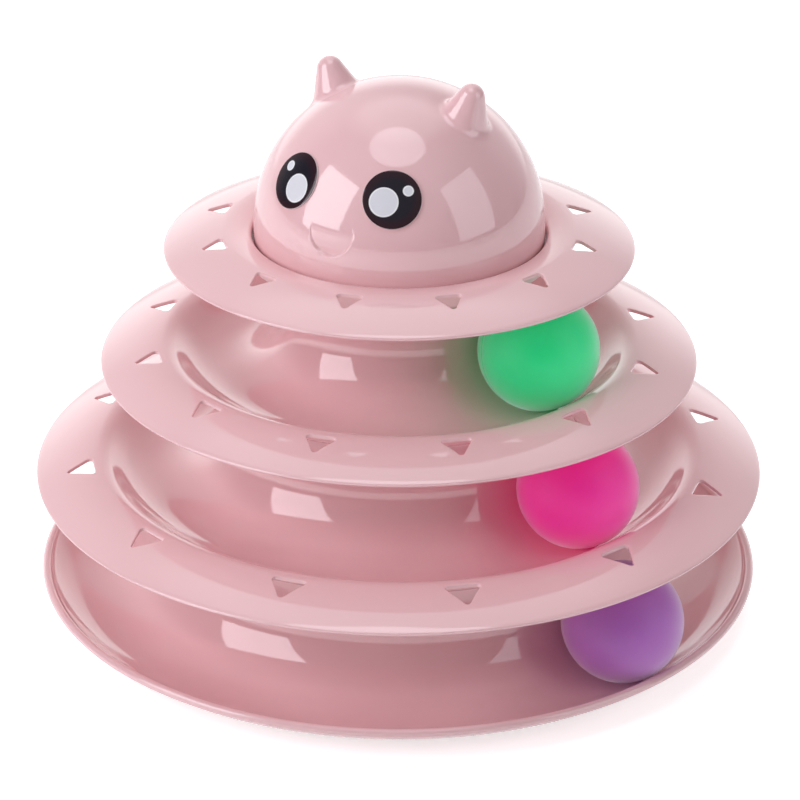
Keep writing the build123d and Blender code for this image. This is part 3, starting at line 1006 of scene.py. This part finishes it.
base_tray = make_base_tray("base_tray_moulding")
finish_piece(base_tray, "base_tray", "base", pink)

# %% [markdown]
# ## Feet
# Six soft pads sit in the pockets. One pad is turned from its profile, with an eased lower edge and two
# fine grooves that help it grip, and then copied to the other places. Soft rubber is dull, so its skin is
# a satin one: rougher, with a finer and deeper ripple.

# %% Foot rubber
SATIN_SKIN = {
    "Tone Scale": 60.0,
    "Tone Amount": 0.6,
    "Gloss Scale": 120.0,
    "Roughness": 0.5,
    "Roughness Swing": 0.05,
    "Ripple Scale": 1800.0,
}
RUBBER = (0.62, 0.60, 0.60)
RUBBER_DEEP = (0.56, 0.54, 0.54)
RUBBER_RIPPLE = 0.02 * MM
rubber, _ = moulded("foot_rubber", RUBBER, RUBBER_DEEP, SATIN_SKIN, RUBBER_RIPPLE)

# %% Feet
PAD_EASE = 0.4 * MM
PAD_EASE_STEPS = 4
GROOVE_DEPTH = 0.3 * MM
GROOVE_RADII = (4.8 * MM, 2.6 * MM)
GROOVE_WIDTH = 0.8 * MM


def make_pad(name):
    """A round pad about the Z axis, standing on the floor."""
    piece = start_profile(name, 0, FOOT_HEIGHT)
    line_to(piece, FOOT_RADIUS, FOOT_HEIGHT, steps=3)
    line_to(piece, FOOT_RADIUS, PAD_EASE)
    arc((FOOT_RADIUS - PAD_EASE, PAD_EASE), -90, PAD_EASE_STEPS)
    for radius in GROOVE_RADII:
        line_to(piece, radius + GROOVE_WIDTH / 2, 0)
        line_to(piece, radius, GROOVE_DEPTH)
        line_to(piece, radius - GROOVE_WIDTH / 2, 0)
    line_to(piece, 0, 0)
    turn_profile(360, POCKET_STEPS)
    close_mesh(piece)
    return piece


pads = [make_pad("foot_pad_1")]
for k in range(1, FOOT_COUNT):
    pad = pads[0].copy()
    pad.data = pads[0].data.copy()
    pad.name = f"foot_pad_{k + 1}"
    bpy.context.collection.objects.link(pad)
    pads.append(pad)
for k, pad in enumerate(pads):
    pad.data.transform(Matrix.Translation(foot_place(k)))
    finish_piece(pad, f"foot_{k + 1}", "base", rubber)

# %% [markdown]
# ## The head
# The dome is a thin shell with two ears moulded in one with it. Ears joined on with a boolean would leave a
# hard crease, so they are drawn out of the dome instead, as in clay: a fine half sphere is added, and each
# vertex slides along its own ray until it meets the dome and the two rounded cones, blended into each
# other. The smile is pressed in the same way. Then the shell gets its skirt, and its wall with a Solidify
# modifier.

# %% Shapes of the dome and ears
DOME_SKIRT = 7.4 * MM
DOME_CENTRE = Vector((0, 0, CROWN_Z + LEDGE_HEIGHT + DOME_SKIRT))
EAR_AZIMUTHS = (-120.0, 60.0)
EAR_INSET = 21.9 * MM
EAR_HEIGHT = 4.5 * MM
EAR_TIP = 4.4 * MM
EAR_REACH = DOME_RADIUS - EAR_INSET
EAR_RISE = DOME_RADIUS + EAR_HEIGHT - EAR_TIP
EAR_ANGLE = 23.0
EAR_TILT = 19.0
EAR_BLEND = 1.8 * MM


def ear_middle(azimuth):
    """The middle of an ear's round tip, from the dome's centre."""
    return EAR_REACH * direction(azimuth, 0) + Vector((0, 0, EAR_RISE))


def ear_distance(points, azimuth):
    """How far points, about the dome's centre, lie outside a rounded cone that leans outwards."""
    angle = math.radians(EAR_ANGLE)
    tilt = math.radians(EAR_TILT)
    axis = np.array(direction(azimuth, 0)) * math.sin(tilt) + np.array([0, 0, math.cos(tilt)])
    offset = points - np.array(ear_middle(azimuth))
    along = offset @ axis
    across = np.linalg.norm(offset - along[:, None] * axis, axis=1)
    side = across * math.cos(angle) + along * math.sin(angle) - EAR_TIP
    cap = np.hypot(across, along) - EAR_TIP
    return np.where(across * math.sin(angle) - along * math.cos(angle) > 0, side, cap)


def blend(a, b, width):
    """The smaller of two distances, rounded where they meet."""
    near = np.maximum(width - np.abs(a - b), 0) / width
    return np.minimum(a, b) - near**2 * width / 4


def dome_distance(points):
    """How far points lie outside the dome with its ears."""
    ball = np.linalg.norm(points, axis=1) - DOME_RADIUS
    left, right = [blend(ball, ear_distance(points, azimuth), EAR_BLEND) for azimuth in EAR_AZIMUTHS]
    return np.minimum(left, right)


# %% Shape of the smile
FACE_AZIMUTH = -28.0
SMILE_RADIUS = 7.7 * MM
SMILE_LATITUDE = 15.4
SMILE_STEP = 1.3 * MM
SMILE_EDGE = 0.7 * MM
SMILE_TOP = 5.0 * MM


def smile_press(rays):
    """How deep the smile presses the dome in along each ray: a step below that runs out smoothly above."""
    outward = np.array(direction(FACE_AZIMUTH, SMILE_LATITUDE))
    right = np.array(direction(FACE_AZIMUTH + 90, 0))
    up = np.cross(right, -outward)
    across = rays @ right * DOME_RADIUS
    above = rays @ up * DOME_RADIUS
    radius = np.hypot(across, above)
    fade = np.clip((SMILE_TOP - above) / (SMILE_TOP + SMILE_RADIUS), 0, 1)
    edge = np.clip((SMILE_RADIUS - radius) / SMILE_EDGE + 0.5, 0, 1)
    facing = rays @ outward > 0
    return SMILE_STEP * fade**2 * edge**2 * (3 - 2 * edge) * facing


# %% Head
DOME_SEGMENTS = 256
DOME_RINGS = 128
EAR_PATCH = 17.0
EAR_CUTS = 2
SMILE_PATCH = 9.5
SMILE_CUTS = 5
LEAST_REACH = 0.9 * DOME_RADIUS
MOST_REACH = 1.6 * DOME_RADIUS
HALVINGS = 40
SKIRT_STEPS = 5


def refine_near(piece, rays, spread, cuts):
    """Subdivides the faces whose middles lie within some degrees of any of these rays from the centre."""
    bpy.ops.mesh.select_mode(type="FACE")
    bpy.ops.mesh.select_all(action="DESELECT")
    mesh = bmesh.from_edit_mesh(piece.data)
    least = math.cos(math.radians(spread))
    for surface in mesh.faces:
        ray = surface.calc_center_median().normalized()
        surface.select_set(any(ray.dot(other) > least for other in rays))
    bmesh.update_edit_mesh(piece.data)
    bpy.ops.mesh.subdivide(number_cuts=cuts)


def half_sphere(name):
    """The upper half of a sphere, with finer faces where the ears and the smile will be."""
    bpy.ops.object.select_all(action="DESELECT")
    bpy.ops.mesh.primitive_uv_sphere_add(segments=DOME_SEGMENTS, ring_count=DOME_RINGS, radius=DOME_RADIUS)
    piece = bpy.context.object
    piece.name = name
    bpy.ops.object.mode_set(mode="EDIT")
    bpy.ops.mesh.select_mode(type="VERT")
    bpy.ops.mesh.select_all(action="DESELECT")
    mesh = bmesh.from_edit_mesh(piece.data)
    for vertex in mesh.verts:
        vertex.select_set(vertex.co.z < -MERGE_GAP)
    mesh.select_flush(True)
    bpy.ops.mesh.delete(type="VERT")
    refine_near(piece, [ear_middle(azimuth).normalized() for azimuth in EAR_AZIMUTHS], EAR_PATCH, EAR_CUTS)
    refine_near(piece, [direction(FACE_AZIMUTH, SMILE_LATITUDE)], SMILE_PATCH, SMILE_CUTS)
    bpy.ops.object.mode_set(mode="OBJECT")
    return piece


def slide_to_shape(piece):
    """Slides each vertex along its ray to the dome and its ears, by halving, and presses in the smile."""
    count = len(piece.data.vertices)
    flat = np.empty(count * 3)
    piece.data.vertices.foreach_get("co", flat)
    rays = flat.reshape(-1, 3)
    rays = rays / np.linalg.norm(rays, axis=1)[:, None]
    low = np.full(count, LEAST_REACH)
    high = np.full(count, MOST_REACH)
    for _ in range(HALVINGS):
        middle = (low + high) / 2
        outside = dome_distance(rays * middle[:, None]) > 0
        high = np.where(outside, middle, high)
        low = np.where(outside, low, middle)
    reach = (low + high) / 2 - smile_press(rays)
    piece.data.vertices.foreach_set("co", (rays * reach[:, None]).ravel())
    piece.data.update()


def make_head(name):
    """The dome with its ears, smile and skirt, as a shell."""
    piece = half_sphere(name)
    slide_to_shape(piece)
    bpy.ops.object.mode_set(mode="EDIT")
    bpy.ops.mesh.select_mode(type="EDGE")
    bpy.ops.mesh.select_all(action="DESELECT")
    bpy.ops.mesh.select_non_manifold(
        extend=False, use_wire=False, use_multi_face=False, use_non_contiguous=False
    )
    for _ in range(SKIRT_STEPS):
        down = (0, 0, -DOME_SKIRT / SKIRT_STEPS)
        bpy.ops.mesh.extrude_region_move(TRANSFORM_OT_translate={"value": down})
    close_mesh(piece)
    wall = piece.modifiers.new("wall", "SOLIDIFY")
    wall.thickness = DOME_WALL
    wall.offset = -1
    bpy.ops.object.modifier_apply(modifier=wall.name)
    piece.data.transform(Matrix.Translation(DOME_CENTRE))
    return piece


dome_head = make_head("dome_head_moulding")
finish_piece(dome_head, "dome_head", "head", pink)

# %% [markdown]
# ## Eyes
# Each eye is a thin printed disc that follows the dome and stands a little proud of it. It is turned from a
# profile about its own axis, where its flat layout is simplest, so its UV map is written there: across and
# up in millimetres from its middle. The print is then two pale spots on near-black, drawn as distances on
# that map, and it turns with the disc when the disc is put in its place.

# %% Eye print, in millimetres on the layout
EYE_RADIUS = 9.5 * MM
BIG_SPOT = 4.75
SMALL_SPOT = 1.75
SPOT_LINE = 0.45
SPOT_SOFTNESS = 0.12
LINE_SOFTNESS = 0.2
TINT_INSET = 2.2
TINT_SOFTNESS = 1.6
RIM_INSET = 0.10
RIM_SOFTNESS = 0.05
EYE_SPOTS = {
    "left": ((2.36, -2.10), (-4.76, 3.57)),
    "right": ((-2.61, -0.95), (5.08, 2.85)),
}
INK = (0.0200, 0.0165, 0.0250)
INK_EDGE = (0.0340, 0.0150, 0.0210)
SPOT_GREY = (0.78, 0.78, 0.84)
SPOT_WHITE = (0.93, 0.93, 0.95)
RIM_PALE = (0.70, 0.56, 0.58)
PRINT_RIPPLE = 0.003 * MM


def disc_mask(tree, place, centre, radius, softness):
    """1 inside a circle on the layout and 0 outside it, with a thin soft edge."""
    far = vector_value(tree, "DISTANCE", place, (*centre, 0))
    return smooth_step(tree, far, radius + softness, radius - softness)


def paint_over(tree, below, color, mask):
    """A colour laid over what is below it, where the mask is 1."""
    mix = tree.nodes.new("ShaderNodeMix")
    mix.data_type = "RGBA"
    tree.links.new(mask, mix.inputs["Factor"])
    tree.links.new(below, mix.inputs["A"])
    mix.inputs["B"].default_value = (*color, 1.0)
    return mix.outputs["Result"]


def make_eye_print(name, spots):
    """Near-black ink with a pale cut edge and two outlined spots."""
    material, shader = moulded(name, INK_EDGE, INK_EDGE, GLOSS_SKIN, PRINT_RIPPLE)
    tree = material.node_tree
    surface = next(n for n in tree.nodes if n.type == "GROUP")
    layout = tree.nodes.new("ShaderNodeUVMap")
    layout.uv_map = "layout"
    place = layout.outputs["UV"]
    rim = EYE_RADIUS / MM
    inside = disc_mask(tree, place, (0, 0), rim - TINT_INSET, TINT_SOFTNESS)
    color = paint_over(tree, surface.outputs["Color"], INK, inside)
    inked = disc_mask(tree, place, (0, 0), rim - RIM_INSET, RIM_SOFTNESS)
    color = paint_over(tree, color, RIM_PALE, math_node(tree, "SUBTRACT", 1.0, inked))
    for centre, radius in zip(spots, (BIG_SPOT, SMALL_SPOT)):
        spot = disc_mask(tree, place, centre, radius, SPOT_SOFTNESS)
        color = paint_over(tree, color, SPOT_WHITE, spot)
        middle = disc_mask(tree, place, centre, radius - SPOT_LINE, LINE_SOFTNESS)
        color = paint_over(tree, color, SPOT_GREY, middle)
    tree.links.new(color, shader.inputs["Base Color"])
    return material


# %% Eye discs
EYE_PROUD = 0.65 * MM
EYE_SUNK = 0.25 * MM
EYE_EDGE = 0.3 * MM
EYE_LATITUDE = 30.2
EYE_SPREAD = 24.8
EYE_TOP_STEPS = 16
EYE_EDGE_STEPS = 5
EYE_SIDE_STEPS = 2
EYE_BACK_STEPS = 6
FINE_TURN_STEPS = 128


def make_eye(name, azimuth):
    """A thin curved disc on the dome, with its flat layout in millimetres as its UV map."""
    outer = DOME_RADIUS + EYE_PROUD
    inner = DOME_RADIUS - EYE_SUNK
    edge_angle = math.degrees(math.acos((EYE_RADIUS - EYE_EDGE) / (outer - EYE_EDGE)))
    back_angle = math.degrees(math.acos(EYE_RADIUS / inner))
    piece = start_profile(name, 0, outer)
    arc((0, 0), edge_angle - 90, EYE_TOP_STEPS)
    arc(on_circle((0, 0), outer - EYE_EDGE, edge_angle), -edge_angle, EYE_EDGE_STEPS)
    line_to(piece, EYE_RADIUS, on_circle((0, 0), inner, back_angle)[1], EYE_SIDE_STEPS)
    arc((0, 0), 90 - back_angle, EYE_BACK_STEPS)
    turn_profile(360, FINE_TURN_STEPS)
    close_mesh(piece)
    layout = piece.data.uv_layers.new(name="layout")
    for loop in piece.data.loops:
        spot = piece.data.vertices[loop.vertex_index].co
        layout.data[loop.index].uv = (spot.x / MM, spot.y / MM)
    right = direction(azimuth + 90, 0)
    outward = direction(azimuth, EYE_LATITUDE)
    turned = Matrix((right, outward.cross(right), outward)).transposed().to_4x4()
    piece.data.transform(Matrix.Translation(DOME_CENTRE) @ turned)
    return piece


for side, sign in (("left", -1), ("right", 1)):
    eye = make_eye(f"{side}_eye_disc", FACE_AZIMUTH + sign * EYE_SPREAD)
    eye_print = make_eye_print(f"{side}_eye_print", EYE_SPOTS[side])
    finish_piece(eye, f"{side}_eye", "head", eye_print)

# %% [markdown]
# ## Balls
# The balls are hollow, of satin plastic that lets a little light through, so the light scatters in it and
# its edge has a soft sheen. Each ball also gives off a faint glow in its own colour. This is painted light
# that brightens the balls in the shade of the tiers, whatever light reaches them. A moulded ball is made of
# two halves, so a shallow parting groove runs round it. It is turned from a half circle with that groove in
# its middle, and laid so that the groove faces away from the viewer, as the balls lie in the photograph.

# %% Ball plastic
# Each ball's glow is painted light: a fixed emission that brightens the ball in shade.
BALL_COLORS = {
    "purple": {"color": (0.480, 0.150, 0.555), "deep": (0.455, 0.140, 0.530), "glow": 0.05},
    "magenta": {"color": (0.960, 0.018, 0.370), "deep": (0.940, 0.015, 0.350), "glow": 0.17},
    "green": {"color": (0.014, 0.930, 0.335), "deep": (0.012, 0.900, 0.315), "glow": 0.07},
}
BALL_RIPPLE = 0.01 * MM
BALL_SCATTER = 0.9
BALL_SCATTER_DEPTH = 16.0 * MM
BALL_SHEEN = 1.0
BALL_SHEEN_ROUGHNESS = 0.45


def ball_plastic(color_name):
    """Satin plastic of one of the balls' colours."""
    dye_and_painted_glow = BALL_COLORS[color_name]
    material, shader = moulded(f"{color_name}_plastic", dye_and_painted_glow["color"], dye_and_painted_glow["deep"], SATIN_SKIN, BALL_RIPPLE)
    shader.inputs["Subsurface Weight"].default_value = BALL_SCATTER
    shader.inputs["Subsurface Radius"].default_value = (1.0, 1.0, 1.0)
    shader.inputs["Subsurface Scale"].default_value = BALL_SCATTER_DEPTH
    shader.inputs["Sheen Weight"].default_value = BALL_SHEEN
    shader.inputs["Sheen Roughness"].default_value = BALL_SHEEN_ROUGHNESS
    # Painted light: the ball glows in its own colour as a fixed emission, whatever lights it.
    shader.inputs["Emission Color"].default_value = (*dye_and_painted_glow["color"], 1.0)
    shader.inputs["Emission Strength"].default_value = dye_and_painted_glow["glow"]
    return material


# %% Balls
PARTING_DEPTH = 0.12 * MM
PARTING_HALF = 0.6
BALL_ARC_STEPS = 40
BALL_CREASE = 60
BALL_TILT = {"purple": (68, 10), "magenta": (60, -14), "green": (72, 22)}


def make_ball(name, node, tilt):
    """A ball turned from a half circle with a parting groove, where its CAD node is."""
    low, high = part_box(node)
    centre = (low + high) / 2
    piece = start_profile(name, 0, BALL_RADIUS)
    arc((0, 0), PARTING_HALF - 90, BALL_ARC_STEPS)
    line_to(piece, BALL_RADIUS - PARTING_DEPTH, 0)
    line_to(piece, *on_circle((0, 0), BALL_RADIUS, -PARTING_HALF))
    arc((0, 0), PARTING_HALF - 90, BALL_ARC_STEPS)
    turn_profile(360, FINE_TURN_STEPS)
    close_mesh(piece)
    lean, turn = [math.radians(angle) for angle in tilt]
    leaning = Matrix.Rotation(turn, 4, "Z") @ Matrix.Rotation(lean, 4, "X")
    piece.data.transform(Matrix.Translation(centre) @ leaning)
    return piece


for color_name, tilt in BALL_TILT.items():
    node = f"{color_name}_ball"
    ball = make_ball(f"{node}_shell", node, tilt)
    finish_piece(ball, node, color_name, ball_plastic(color_name), BALL_CREASE)
